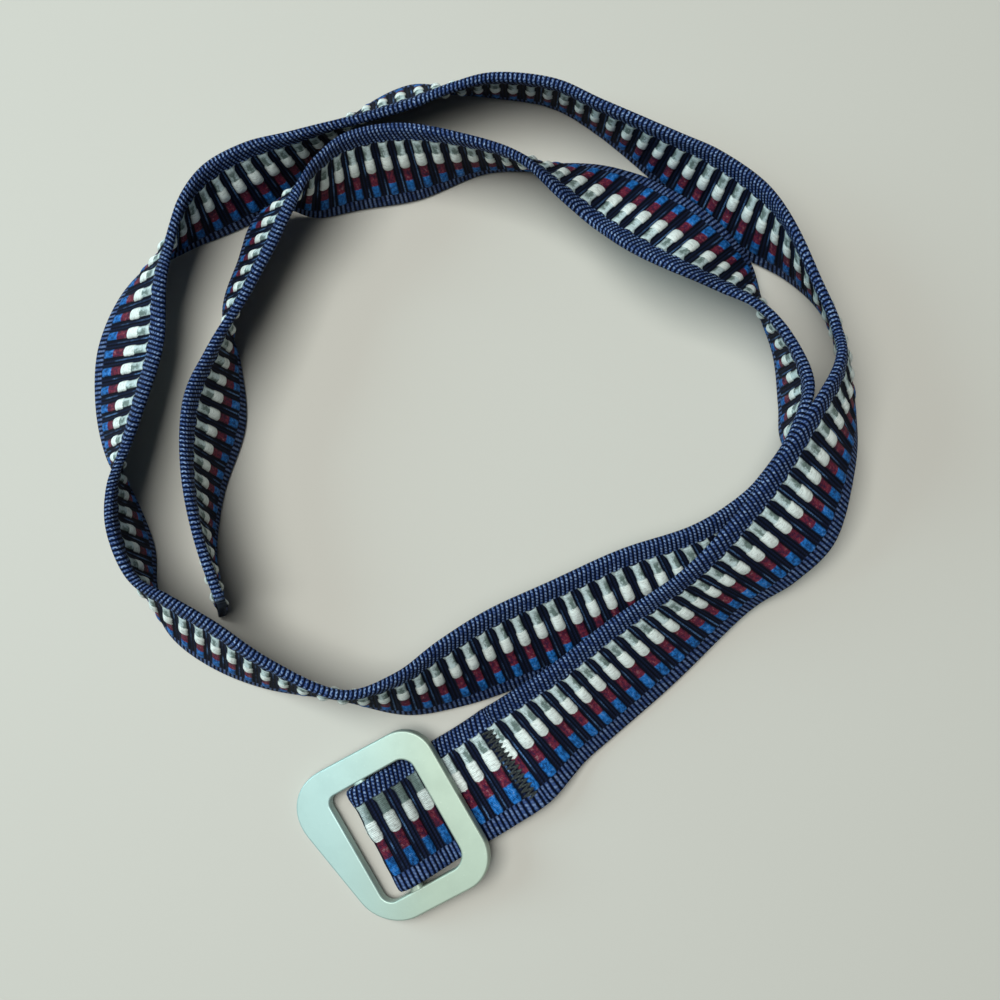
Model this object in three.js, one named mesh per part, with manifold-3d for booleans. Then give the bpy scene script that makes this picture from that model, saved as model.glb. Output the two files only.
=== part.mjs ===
// Woven canvas belt lying in a loose coil of two turns, with a flat frame buckle sewn to one end.
// Millimetres, +Z up. The buckle's slot runs along Y and the strap leaves the buckle towards +X.
// The origin is on the floor under the middle of the belt's outline.
import * as THREE from 'three';
import { mergeVertices } from 'three/addons/utils/BufferGeometryUtils.js';
import Module from 'manifold-3d';

const DEGREE = Math.PI / 180;
const UP = new THREE.Vector3(0, 0, 1);

// Strap
const WIDTH = 30;
const CLOTH = 2;
const SELVEDGE = 5;
const RIB_PITCH = 4.9;
const RIB_WAVE = 0.35;
const FOOT_HEIGHT = 1.1;

// Buckle
const BUCKLE_THICK = 3.2;
const BUCKLE_EDGE = 0.6;
const BUCKLE_TILT = 9.8 * DEGREE;
const BUCKLE_DROP = 0.5;
const BUCKLE_ANGLE = 30 * DEGREE;
const CROSSBAR_WIDE = 3.6;
const CROSSBAR_THICK = 2.8;
const CROSSBAR_CORNER = 1.2;
const CROSSBAR_LONG = 35.8;
const CROSSBAR_ALONG = -3;
const CROSSBAR_ACROSS = -0.4;
const CLEAR = 0.3;

// The belt as it lies, x to the right and y away from the viewer
const WINDOW_MIDDLE = { x: 11.25, y: -94.7 };
const OUTLINE_MIDDLE = { x: 31.24, y: -8.84 };

// Corners of the buckle's outline, from the middle of its window: along the strap, across it
const BUCKLE_CORNERS = [
  { along: -26, across: 23.2, radius: 11.5 },
  { along: -16.2, across: -22.4, radius: 12.5 },
  { along: 20.1, across: -22.6, radius: 9.5 },
  { along: 19.1, across: 22.3, radius: 8.7 },
];

// Corners of its window
const WINDOW_CORNERS = [
  { along: -13.3, across: 15.5, radius: 2.5 },
  { along: -12.3, across: -16.3, radius: 3.2 },
  { along: 13.1, across: -16.2, radius: 4.4 },
  { along: 12.6, across: 15.4, radius: 3.8 },
];

// Buckle end seen from the side: distance from the window's middle, height of the cloth's middle.
// The sewn-back layer lies on the floor and runs to the crossbar.
const SEWN_BACK = [
  { along: 35.5, height: 1.38 },
  { along: 26, height: 1.38 },
  { along: 16, height: 1.38 },
  { along: 7, height: 1.4 },
  { along: 1, height: 1.7 },
];
// The strap comes off the crossbar and dips under the right bar.
const OFF_CROSSBAR = [
  { along: 2, height: 7.4 },
  { along: 6, height: 5.7 },
  { along: 9.5, height: 4.65 },
  { along: 14.5, height: 4.38 },
];
// It goes on over the sewn-back layer.
const OVER_SEWN = [
  { along: 14.5, height: 4.38 },
  { along: 26, height: 4.4 },
  { along: 37, height: 4.6 },
];
// The doubled end starts to curve to the left here, at this radius.
const BEND_START = 20;
const BEND_RADIUS = 140;

// The strap's lay, a row for each bend or lean, from the buckle to the free end:
// foot x and foot y where the lower edge stands, over x and over y from there to the upper edge
// in plan, and lift of the lower edge off the floor. The width gives the upper edge's height.
const COLUMNS = ['footX', 'footY', 'overX', 'overY', 'lift'];
const LAY = [
  // first stretch, leaning back to the left, from the buckle to the right side
  [60.2, -77.7, -17.3, 20.4, 0.8],
  [68.4, -70.5, -17, 18.8, 0],
  [84.4, -56.4, -17.9, 16.4, 0],
  [103.4, -37.6, -19.9, 9.1, 2],
  // it climbs on the inner turn's upper edge
  [115.3, -29.6, -20.3, 13.1, 6],
  [125.1, -19, -21.6, 13.5, 10],
  [129.4, -1, -16.7, 10.3, 12.5],
  [131.9, 14, -9.9, 10, 4.5],
  // outer turn, upright along the right side
  [131, 31, -9, 2.5, 0],
  [126, 44, -8.6, 1.3, 0],
  [116.5, 53.5, -5.1, 6.5, 0],
  [102.5, 61.5, 2.5, 8.5, 0],
  [89.5, 72, 4.7, 6, 0],
  [79, 83.5, 4, -0.6, 0],
  // far side, leaning in towards the middle
  [64, 97, 0.5, -5.6, 0],
  [51, 105, 1, -7.5, 0],
  [36, 108, 1, -8.5, 0],
  [23, 109.5, 3, -12, 0],
  [10, 110.5, 4.5, -16.5, 0],
  [-5, 102, 4, -13, 0],
  [-15, 88, -0.5, -3.2, 0],
  [-24, 77.5, -4, 4.9, 0],
  [-37.5, 70.5, -0.7, 6.5, 0],
  // left side, laid over to the right
  [-51, 65, 6.8, 3.5, 0],
  [-63, 58.5, 15, -1.5, 0],
  [-71.5, 49, 20.6, -1, 0],
  [-76.9, 35, 24.6, -1.2, 0],
  [-76.9, 19, 22.1, 0, 0],
  [-73.1, 4.5, 15.5, -0.5, 0],
  [-66, -7, 5.8, 0, 0],
  [-59.9, -21, 0.1, 3, 0],
  [-58.6, -33, 4.4, 3.5, 0],
  // near side, leaning away
  [-53.1, -44.9, 7.1, 10.4, 0],
  [-41, -53.6, 7.5, 12.1, 0],
  [-25.5, -59, 7, 8, 0],
  [-6.5, -61.5, 6, 3, 0],
  [12, -65.5, 1, 11.5, 0],
  [28, -63, -5, 17, 0],
  [43, -58, -7.5, 20.2, 0],
  [61, -51.5, -9.5, 21.2, 0],
  [80, -44, -11, 21.8, 0],
  // inner turn, passing under the first stretch
  [101, -35, -14, 18.7, 0],
  [117.5, -25, -18, 16.5, 0],
  [123.5, -8.5, -18, 6.5, 0],
  [114.8, 7.5, -2.8, 1, 0],
  [113.9, 18, 1.5, 0, 0],
  [112.8, 32, -1, -4, 0],
  [109, 44.5, -4.5, -7, 0],
  // its foot leans on the outer turn
  [105.5, 56.5, -11.5, -13.5, 3],
  [99, 62.5, -15.5, -16, 10],
  [91.5, 70, -16.5, -18.5, 10],
  [83.5, 76, -16, -19.2, 8],
  [75, 83.2, -14.5, -19, 1],
  // far side of the inner turn
  [63, 86.5, -10.5, -16, 0],
  [46, 86.5, -3, -8.5, 0],
  [31.5, 85.6, -0.5, -3.1, 0],
  [14, 78.3, -2, 8.9, 0],
  [-2.5, 75.6, 1, 9.4, 0],
  // it crosses the outer turn's foot
  [-15.5, 73, 7, 5.5, 1],
  [-24, 74, 12, -4.5, 6],
  [-32, 70, 16.2, -5.5, 4.5],
  [-37.3, 59.5, 15.5, -4.5, 0],
  [-41.1, 45.5, 12.5, -4.5, 0],
  // free end
  [-36.8, 30, 1.1, -2, 0],
  [-34.9, 13, -6.8, 2.5, 0],
  [-40.6, -6, -0.8, 4.5, 0],
  [-42.3, -23.5, 4.8, 4.5, 0],
  [-39.3, -40.5, 8.3, 4.5, 0],
].map((row) => Object.fromEntries(row.map((value, i) => [COLUMNS[i], value])));

// Steps of the sampled path and of the finished strap, and the length that gets the finer one
const PATH_STEP = 0.4;
const RIB_STEP = RIB_PITCH / 2;
const FOLD_STEP = RIB_PITCH / 6;
const FOLD_LENGTH = 26;
const STEPS_A_ROW = 40;
const FOLD_TURN = 20;

const strapMaterial = new THREE.MeshStandardMaterial({ name: 'strap', color: 0x1e2a4a });
strapMaterial.roughness = 0.85;
strapMaterial.metalness = 0;
const buckleMaterial = new THREE.MeshStandardMaterial({ name: 'buckle', color: 0xb4bfae });
buckleMaterial.roughness = 0.38;
buckleMaterial.metalness = 0.9;

// Place of the strap's middle line and its heading, at a distance from the window's middle
function plan(along) {
  const turn = Math.max(0, along - BEND_START) / BEND_RADIUS;
  const ahead = Math.min(along, BEND_START) + BEND_RADIUS * Math.sin(turn);
  const aside = BEND_RADIUS * (1 - Math.cos(turn));
  const middle = new THREE.Vector3(ahead, aside, 0);
  middle.applyAxisAngle(UP, BUCKLE_ANGLE);
  middle.add(new THREE.Vector3(WINDOW_MIDDLE.x, WINDOW_MIDDLE.y, 0));
  const heading = BUCKLE_ANGLE + turn;
  const across = new THREE.Vector3(-Math.sin(heading), Math.cos(heading), 0);
  return { middle, across };
}

// Section of the doubled end: it lies flat, with its lower edge on the near side
function flatSection(along, height) {
  const { middle, across } = plan(along);
  middle.z = height;
  const foot = middle.clone().addScaledVector(across, -WIDTH / 2);
  const top = middle.clone().addScaledVector(across, WIDTH / 2);
  return { foot, top };
}

// Middle of the crossbar in the side view, from the buckle's tilt about its left edge
function crossbarMiddle() {
  const reach = CROSSBAR_ALONG - BUCKLE_CORNERS[0].along;
  const middle = new THREE.Vector2(reach, BUCKLE_THICK / 2);
  middle.rotateAround(new THREE.Vector2(), BUCKLE_TILT);
  middle.x += BUCKLE_CORNERS[0].along;
  middle.y -= BUCKLE_DROP;
  return middle;
}

// The cloth's middle line round the crossbar's left side, from below to above
function foldPoints() {
  const offset = CLEAR + CLOTH / 2 + RIB_WAVE;
  const radius = CROSSBAR_CORNER + offset;
  const aside = CROSSBAR_WIDE / 2 - CROSSBAR_CORNER;
  const up = CROSSBAR_THICK / 2 - CROSSBAR_CORNER;
  const middle = crossbarMiddle();
  const points = [];
  for (let degrees = 270; degrees >= 90; degrees -= FOLD_TURN) {
    const angle = degrees * DEGREE;
    const side = Math.sign(Math.sin(angle)) * up;
    points.push(new THREE.Vector2(radius * Math.cos(angle) - aside, radius * Math.sin(angle) + side));
  }
  const last = (90 - FOLD_TURN) * DEGREE;
  points.push(new THREE.Vector2(radius * Math.cos(last) + aside, radius * Math.sin(last) + up));
  return points.map((p) => p.rotateAround(new THREE.Vector2(), BUCKLE_TILT).add(middle));
}

// Sections of the doubled end, from the sewn-back edge round the crossbar to the right bar
function endSections() {
  const toPoint = (row) => new THREE.Vector3(row.along, 0, row.height);
  const fold = foldPoints().map((p) => new THREE.Vector3(p.x, 0, p.y));
  const points = [...SEWN_BACK.map(toPoint), ...fold, ...OFF_CROSSBAR.map(toPoint)];
  const side = new THREE.CatmullRomCurve3(points, false, 'centripetal');
  side.arcLengthDivisions = 2000;
  const steps = Math.round(side.getLength() / PATH_STEP);
  return side.getSpacedPoints(steps).map((p) => flatSection(p.x, p.z));
}

// Sections of the laid strap, from the right bar to the free end
function laidSections() {
  const start = OVER_SEWN.map(({ along, height }) => {
    const { foot, top } = flatSection(along, height);
    return {
      footX: foot.x,
      footY: foot.y,
      overX: top.x - foot.x,
      overY: top.y - foot.y,
      lift: height - FOOT_HEIGHT,
    };
  });
  const rows = [...start, ...LAY];
  const feet = rows.map((row) => new THREE.Vector3(row.footX, row.footY, row.lift));
  const overs = rows.map((row) => new THREE.Vector3(row.overX, row.overY, 0));
  const footCurve = new THREE.CatmullRomCurve3(feet, false, 'catmullrom', 0.5);
  const overCurve = new THREE.CatmullRomCurve3(overs, false, 'catmullrom', 0.5);
  const steps = (rows.length - 1) * STEPS_A_ROW;
  const sections = [];
  for (let i = 1; i <= steps; i += 1) {
    const foot = footCurve.getPoint(i / steps);
    const over = overCurve.getPoint(i / steps).clampLength(0, WIDTH);
    const lean = over.length();
    foot.z = Math.max(foot.z, 0) + (FOOT_HEIGHT * lean) / WIDTH;
    const top = foot.clone().add(over);
    top.z += Math.sqrt(Math.max(0, WIDTH ** 2 - lean ** 2));
    sections.push({ foot, top });
  }
  return sections;
}

// The path as one list of sections with their distance along the strap's middle line
function strapPath() {
  const sections = [...endSections(), ...laidSections()];
  let distance = 0;
  sections.forEach((section, i) => {
    section.middle = section.foot.clone().add(section.top).multiplyScalar(0.5);
    if (i > 0) distance += section.middle.distanceTo(sections[i - 1].middle);
    section.distance = distance;
  });
  return sections;
}

// Foot, top and middle of the strap at a distance along it
function sectionAt(path, distance) {
  let high = path.findIndex((section) => section.distance >= distance);
  if (high < 0) high = path.length - 1;
  high = Math.max(high, 1);
  const [a, b] = [path[high - 1], path[high]];
  const share = (distance - a.distance) / (b.distance - a.distance);
  const mix = (key) => a[key].clone().lerp(b[key], share);
  return { foot: mix('foot'), top: mix('top'), middle: mix('middle') };
}

// Distances at which the strap gets a section: half a rib, and finer where it wraps the crossbar
function stations(length, foldStart, foldEnd) {
  const list = [];
  let distance = 0;
  while (distance < length - RIB_STEP / 2) {
    list.push(distance);
    const inFold = distance >= foldStart - RIB_STEP / 2 && distance < foldEnd;
    distance += inFold ? FOLD_STEP : RIB_STEP;
  }
  list.push(length);
  return list;
}

// The strap: one closed band whose ribbed middle waves between two flat selvedges
function strapGeometry() {
  const path = strapPath();
  const length = path[path.length - 1].distance;
  const sewnLength = SEWN_BACK[0].along - SEWN_BACK[SEWN_BACK.length - 1].along;
  const half = CLOTH / 2;
  const edge = WIDTH / 2;
  const inner = WIDTH / 2 - SELVEDGE;
  const ring = [
    [-edge, half, 0],
    [-inner, half, 1],
    [inner, half, 1],
    [edge, half, 0],
    [edge, -half, 0],
    [inner, -half, 1],
    [-inner, -half, 1],
    [-edge, -half, 0],
  ];
  const positions = [];
  const list = stations(length, sewnLength, sewnLength + FOLD_LENGTH);
  for (const distance of list) {
    const here = sectionAt(path, distance);
    const before = sectionAt(path, Math.max(0, distance - PATH_STEP)).middle;
    const after = sectionAt(path, Math.min(length, distance + PATH_STEP)).middle;
    const travel = after.sub(before).normalize();
    const across = here.top.clone().sub(here.foot).normalize();
    const outward = travel.clone().cross(across).normalize();
    const wave = RIB_WAVE * Math.cos((2 * Math.PI * distance) / RIB_PITCH);
    for (const [aside, out, waved] of ring) {
      const point = here.middle.clone();
      point.addScaledVector(across, aside);
      point.addScaledVector(outward, out + waved * wave);
      positions.push(point.x, point.y, point.z);
    }
  }
  const size = ring.length;
  const index = [];
  for (let i = 0; i < list.length - 1; i += 1) {
    for (let k = 0; k < size; k += 1) {
      const next = (k + 1) % size;
      const [a, b] = [i * size + k, i * size + next];
      const [c, d] = [a + size, b + size];
      index.push(a, c, b, b, c, d);
    }
  }
  const last = (list.length - 1) * size;
  for (let k = 0; k < size / 2 - 1; k += 1) {
    const [near, far] = [k, size - 1 - k];
    index.push(near, near + 1, far, near + 1, far - 1, far);
    index.push(last + near, last + far, last + near + 1, last + near + 1, last + far, last + far - 1);
  }
  const geometry = new THREE.BufferGeometry();
  geometry.setAttribute('position', new THREE.Float32BufferAttribute(positions, 3));
  geometry.setIndex(index);
  geometry.computeVertexNormals();
  return geometry;
}

// Closed outline through corners, each rounded to its radius
function roundedOutline(corners, path) {
  const count = corners.length;
  corners.forEach((corner, i) => {
    const at = new THREE.Vector2(corner.along, corner.across);
    const before = corners[(i + count - 1) % count];
    const after = corners[(i + 1) % count];
    const back = new THREE.Vector2(before.along, before.across).sub(at).normalize();
    const on = new THREE.Vector2(after.along, after.across).sub(at).normalize();
    const halfAngle = Math.acos(back.dot(on)) / 2;
    const trim = corner.radius / Math.tan(halfAngle);
    const toMiddle = back.clone().add(on).normalize();
    const middle = at.clone().addScaledVector(toMiddle, corner.radius / Math.sin(halfAngle));
    const from = at.clone().addScaledVector(back, trim).sub(middle);
    const to = at.clone().addScaledVector(on, trim).sub(middle);
    path.absarc(middle.x, middle.y, corner.radius, from.angle(), to.angle(), from.cross(to) < 0);
  });
  path.closePath();
  return path;
}

// Corners of the crossbar's section, with one radius
function crossbarCorners() {
  const [along, across, radius] = [CROSSBAR_WIDE / 2, CROSSBAR_THICK / 2, CROSSBAR_CORNER];
  return [
    { along: -along, across, radius },
    { along: -along, across: -across, radius },
    { along, across: -across, radius },
    { along, across, radius },
  ];
}

const wasm = await Module();
wasm.setup();

// Closed three.js geometry as a solid
function toSolid(geometry) {
  geometry.deleteAttribute('normal');
  geometry.deleteAttribute('uv');
  const merged = mergeVertices(geometry, 1e-4);
  const mesh = new wasm.Mesh({
    numProp: 3,
    vertProperties: merged.getAttribute('position').array,
    triVerts: Uint32Array.from(merged.getIndex().array),
  });
  return new wasm.Manifold(mesh);
}

// Solid as three.js geometry
function toGeometry(solid) {
  const mesh = solid.getMesh();
  const geometry = new THREE.BufferGeometry();
  geometry.setAttribute('position', new THREE.BufferAttribute(mesh.vertProperties, 3));
  geometry.setIndex(new THREE.BufferAttribute(mesh.triVerts, 1));
  geometry.computeVertexNormals();
  return geometry;
}

// The buckle: a rounded frame with soft edges and a crossbar set into both rails,
// flat on its own XY plane with its left edge over the origin
function buckleGeometry() {
  const outline = roundedOutline(BUCKLE_CORNERS, new THREE.Shape());
  outline.holes.push(roundedOutline(WINDOW_CORNERS, new THREE.Path()));
  const frame = new THREE.ExtrudeGeometry(outline, {
    depth: BUCKLE_THICK - 2 * BUCKLE_EDGE,
    bevelEnabled: true,
    bevelThickness: BUCKLE_EDGE,
    bevelSize: BUCKLE_EDGE,
    bevelOffset: -BUCKLE_EDGE,
    bevelSegments: 2,
    curveSegments: 8,
  });
  frame.translate(0, 0, BUCKLE_EDGE);
  const barOutline = roundedOutline(crossbarCorners(), new THREE.Shape());
  const bar = new THREE.ExtrudeGeometry(barOutline, {
    depth: CROSSBAR_LONG,
    bevelEnabled: false,
    curveSegments: 4,
  });
  bar.rotateX(Math.PI / 2);
  bar.translate(CROSSBAR_ALONG, CROSSBAR_ACROSS + CROSSBAR_LONG / 2, BUCKLE_THICK / 2);
  const whole = toGeometry(toSolid(frame).add(toSolid(bar)));
  whole.translate(-BUCKLE_CORNERS[0].along, 0, 0);
  return whole;
}

const strap = new THREE.Mesh(strapGeometry(), strapMaterial);
strap.name = 'strap';

const buckle = new THREE.Mesh(buckleGeometry(), buckleMaterial);
buckle.name = 'buckle';
buckle.rotation.y = -BUCKLE_TILT;
buckle.position.set(BUCKLE_CORNERS[0].along, 0, -BUCKLE_DROP);

const buckleSeat = new THREE.Group();
buckleSeat.position.set(WINDOW_MIDDLE.x, WINDOW_MIDDLE.y, 0);
buckleSeat.rotation.z = BUCKLE_ANGLE;
buckleSeat.add(buckle);

const belt = new THREE.Group();
belt.add(strap, buckleSeat);
belt.rotation.z = -BUCKLE_ANGLE;
belt.position.set(-OUTLINE_MIDDLE.x, -OUTLINE_MIDDLE.y, 0);

const group = new THREE.Group();
group.add(belt);

export default group;
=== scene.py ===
"""Looks of the canvas belt: its woven striped strap, the bar tack and the frame buckle, on a plain stage.

Sizes are in millimetres in the tables and become metres where a mesh is made.
"""
import math

import bpy
import numpy as np
from bpy.props import FloatProperty, FloatVectorProperty, IntProperty, PointerProperty
from mathutils import Matrix, Vector


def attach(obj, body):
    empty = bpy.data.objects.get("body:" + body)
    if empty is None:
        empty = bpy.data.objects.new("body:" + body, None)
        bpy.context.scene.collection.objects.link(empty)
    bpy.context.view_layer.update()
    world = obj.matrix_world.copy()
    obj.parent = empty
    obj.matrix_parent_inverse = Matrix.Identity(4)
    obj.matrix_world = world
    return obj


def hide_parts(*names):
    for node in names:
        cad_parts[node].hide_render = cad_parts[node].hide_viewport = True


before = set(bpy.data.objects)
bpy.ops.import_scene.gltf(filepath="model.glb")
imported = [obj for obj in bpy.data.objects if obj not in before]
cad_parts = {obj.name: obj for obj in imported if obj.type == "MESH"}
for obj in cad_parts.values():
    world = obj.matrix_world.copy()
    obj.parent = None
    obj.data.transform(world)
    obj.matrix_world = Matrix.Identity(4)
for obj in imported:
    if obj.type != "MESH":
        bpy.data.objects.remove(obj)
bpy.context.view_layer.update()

bl_info = {
    "name": "Canvas Belt",
    "version": (1, 0, 0),
    "blender": (4, 5, 0),
    "location": "3D View > Sidebar > Belt",
    "description": "Weaves the strap, sews the bar tack, shapes the buckle and sets the stage",
    "category": "Mesh",
}

MM = 0.001
TINY = 1e-6

# The belt as it lies, x to the right and y away from the viewer, before its turn into the part's frame
BUCKLE_ANGLE = math.radians(30)
WINDOW_MIDDLE = (11.25, -94.7)
OUTLINE_MIDDLE = (31.24, -8.84)
# Height of the cloth's middle where the strap lies flat on the floor
FOOT_HEIGHT = 1.1

# Buckle: corners of its outline and of its window from the window's middle, as along, across, radius
BUCKLE_CORNERS = [(-26, 23.2, 11.5), (-16.2, -22.4, 12.5), (20.1, -22.6, 9.5), (19.1, 22.3, 8.7)]
WINDOW_CORNERS = [(-13.3, 15.5, 2.5), (-12.3, -16.3, 3.2), (13.1, -16.2, 4.4), (12.6, 15.4, 3.8)]
CROSSBAR = {"along": -3, "across": -0.4, "wide": 3.6, "thick": 2.8, "corner": 1.2, "long": 35.8}
CORNER_SEGMENTS = 12
EDGE_SEGMENTS = 5
# Edges that turn by more are rounded over, and those left that turn by less are shaded smooth
SHARP_EDGE = math.radians(60)
SMOOTH_UNDER = math.radians(35)
# The buckle leans on its left edge; before it is rounded over, that edge lies this far under the floor
BUCKLE_LEFT = BUCKLE_CORNERS[0][0]
BUCKLE_TILT = math.radians(9.8)
BUCKLE_DROP = 0.5
# Towards the photograph's right, in the part's frame: where the painted light on the metal turns from cool
# to warm
LIGHT_TINT_SWEEP = (-42, -8)

# Buckle end from the side: distance from the window's middle, height of the cloth's middle
SEWN_BACK = [(35.5, 1.38), (26, 1.38), (16, 1.38), (7, 1.4), (1, 1.7)]
OFF_CROSSBAR = [(2, 7.4), (6, 5.7), (9.5, 4.65), (14.5, 4.38)]
OVER_SEWN = [(14.5, 4.38), (26, 4.4), (37, 4.6)]
# From the crossbar's face to the middle of the cloth folded round it, and the fold's angles in degrees
# about the crossbar, from below it round its left side to above it
FOLD_OFFSET = 1.65
FOLD_ANGLES = range(270, 69, -20)
# The flat end turns a little to the left past this distance from the window's middle
BEND_START = 20
BEND_RADIUS = 140
# Sections from one row of a table to the next, and sections that are averaged to ease the lay
END_STEPS = 40
LAY_STEPS = 60
EASE_SPAN = 15

# The strap's lay from the buckle to the free end, a row for a section: x and y of its lower edge, how far
# its upper edge leans over in x and y, and how far it is lifted off the floor
LAY = [
    (60.2, -77.7, -17.3, 20.4, 0.8),
    (68.4, -70.5, -17, 18.8, 0),
    (84.4, -56.4, -17.9, 16.4, 0),
    (103.4, -37.6, -19.9, 9.1, 2),
    (115.3, -29.6, -20.3, 13.1, 6),
    (125.1, -19, -21.6, 13.5, 10),
    (129.4, -1, -16.7, 10.3, 12.5),
    (131.9, 14, -9.9, 10, 4.5),
    (131, 31, -9, 2.5, 0),
    (126, 44, -8.6, 1.3, 0),
    (116.5, 53.5, -5.1, 6.5, 0),
    (102.5, 61.5, 2.5, 8.5, 0),
    (89.5, 72, 4.7, 6, 0),
    (79, 83.5, 4, -0.6, 0),
    (64, 97, 0.5, -5.6, 0),
    (51, 105, 1, -7.5, 0),
    (36, 108, 1, -8.5, 0),
    (23, 109.5, 3, -12, 0),
    (10, 110.5, 4.5, -16.5, 0),
    (-5, 102, 4, -13, 0),
    (-15, 88, -0.5, -3.2, 0),
    (-24, 77.5, -4, 4.9, 0),
    (-37.5, 70.5, -0.7, 6.5, 0),
    (-51, 65, 6.8, 3.5, 0),
    (-63, 58.5, 15, -1.5, 0),
    (-71.5, 49, 20.6, -1, 0),
    (-76.9, 35, 24.6, -1.2, 0),
    (-76.9, 19, 22.1, 0, 0),
    (-73.1, 4.5, 15.5, -0.5, 0),
    (-66, -7, 5.8, 0, 0),
    (-59.9, -21, 0.1, 3, 0),
    (-58.6, -33, 4.4, 3.5, 0),
    (-53.1, -44.9, 7.1, 10.4, 0),
    (-41, -53.6, 7.5, 12.1, 0),
    (-25.5, -59, 7, 8, 0),
    (-6.5, -61.5, 6, 3, 0),
    (12, -65.5, 1, 11.5, 0),
    (28, -63, -5, 17, 0),
    (43, -58, -7.5, 20.2, 0),
    (61, -51.5, -9.5, 21.2, 0),
    (80, -44, -11, 21.8, 0),
    (101, -35, -14, 18.7, 0),
    (117.5, -25, -18, 16.5, 0),
    (123.5, -8.5, -18, 6.5, 0),
    (114.8, 7.5, -2.8, 1, 0),
    (113.9, 18, 1.5, 0, 0),
    (112.8, 32, -1, -4, 0),
    (109, 44.5, -4.5, -7, 0),
    (105.5, 56.5, -11.5, -13.5, 3),
    (99, 62.5, -15.5, -16, 10),
    (91.5, 70, -16.5, -18.5, 10),
    (83.5, 76, -16, -19.2, 8),
    (75, 83.2, -14.5, -19, 1),
    (63, 86.5, -10.5, -16, 0),
    (46, 86.5, -3, -8.5, 0),
    (31.5, 85.6, -0.5, -3.1, 0),
    (14, 78.3, -2, 8.9, 0),
    (-2.5, 75.6, 1, 9.4, 0),
    (-15.5, 73, 7, 5.5, 1),
    (-24, 74, 12, -4.5, 6),
    (-32, 70, 16.2, -5.5, 4.5),
    (-37.3, 59.5, 15.5, -4.5, 0),
    (-41.1, 45.5, 12.5, -4.5, 0),
    (-36.8, 30, 1.1, -2, 0),
    (-34.9, 13, -6.8, 2.5, 0),
    (-40.6, -6, -0.8, 4.5, 0),
    (-42.3, -23.5, 4.8, 4.5, 0),
    (-39.3, -40.5, 8.3, 4.5, 0),
]

# Where each bar lies along the strap: distance, number of the bar. They crowd in some stretches and
# spread beside the bar tack.
BARS = [
    (0, -10.5), (53.1, 0), (83.7, 6), (89.9, 7), (96.1, 8), (129.5, 15), (149.6, 19), (163.1, 22),
    (212.4, 32), (265.6, 42.5), (358.4, 61.5), (379.4, 66), (389.8, 68), (424.8, 75.5), (455.4, 81.5),
    (471.9, 85), (518.3, 94), (533.6, 97.5), (553.1, 101.5), (569.6, 105), (604.6, 112), (631.3, 117),
    (725, 136), (773.8, 145.5), (797.9, 150.5), (814, 154), (849.4, 161), (862.4, 163), (872.5, 165),
    (888.1, 168.5), (944.4, 180.5), (955.4, 183), (984.5, 189), (996.3, 191.5), (1047.8, 202.5),
    (1070, 207.2),
]
# A bar on the back face lies half-way between two on the front
BACK_STEP = 0.5
# Half width of a bar, as a share of the way from bar to bar
BAR_HALF = 0.31
# Across the strap, from the upper edge: how far a bar stands above the ground cloth
BAR_RELIEF = [
    (0, 0), (4.5, 0), (5.3, 0.45), (7.2, 0.6), (9.4, 0.7), (10.5, 1.1), (12.8, 1.4), (14.3, 1.1),
    (15.4, 0.5), (17.6, 0.5), (19.8, 0.55), (20.9, 0.8), (22.8, 0.85), (24.5, 0.6), (25.4, 0), (30, 0),
]
# Share of the bars' relief that stays where the strap is pressed, at distances along it, on each face
PRESSED = [(0, 0.38), (39, 0.38), (46, 1), (58, 1), (62, 0.5), (72, 0.5), (76, 1)]
PRESSED_BACK = [(0, 0.38), (33, 0.38), (37, 1), (60, 1), (64, 0.38), (88, 0.38), (92, 1)]
# Across the strap, from the upper edge: half thickness of the ground cloth
GROUND = [
    (0, 0), (0.25, 0.8), (0.9, 1.22), (2.4, 1.32), (4.6, 1.05), (6, 0.8),
    (24, 0.8), (25.4, 1.0), (27.6, 1.1), (29.1, 1.02), (29.75, 0.7), (30, 0),
]
# Columns of vertices on each face, from the upper edge
COLUMNS = [
    0.25, 0.9, 2.4, 4.5, 5.2, 6.5, 8.1, 9.5, 10.3, 11.4, 12.7, 13.8, 14.7, 15.4, 17.6, 19.7,
    20.5, 21.5, 23, 24.4, 25.2, 27, 28.2, 29.1, 29.75,
]
# Length of the heat-cut end, which is darker
CUT_LENGTH = 0.9

# Across the strap, from the upper edge: where each band of a bar begins and the last one ends, and how
# far each border blurs to either side
BANDS = {"silver": 4.95, "white": 9.9, "red": 15.375, "blue": 20.175, "end": 25.175}
BLUR = {"silver": 0.15, "white": 0.15, "red": 0.125, "blue": 0.125, "end": 0.175}
# Where the upper selvedge ends and the lower one begins, and the blur of both
SELVEDGES = {"upper": 4.775, "upper_blur": 0.175, "lower": 25.3, "lower_blur": 0.2}
# Half width of a bar, each row from one place to another and from one value to another: the width of its
# silver and white, what its waist and its foot lose, and what the left side of its top gains
BAR_SHAPE = {
    "width": (9.3, 10.6, 1.18, 1.46),
    "waist": (14.0, 15.6, 0.0, 0.3),
    "foot": (24.2, 25.3, 0.0, 0.3),
    "flare": (6.6, 4.6, 0.0, 0.6),
}
BAR_BLUR = 0.1
# From thread to thread of a bar, from fine thread to fine thread, from turn to turn of a roped cord and
# from bead to bead of a selvedge
THREAD = 0.42
FINE_THREAD = 0.21
ROPE_TURN = 0.8
BEAD = 0.94
# Fine ribs of a selvedge to each bar, and their slant: ribs per mm down, at the upper and lower edge
SELVEDGE_RIBS = 4
SELVEDGE_SLANT = (0.24, 0.02)
# Bars that lie under the buckle's right bar, where the cloth is duller with painted shade: from, fully
# from, fully to, to
BUCKLE_SHADE = (-1.6, -0.4, 2.0, 2.6)

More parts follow.
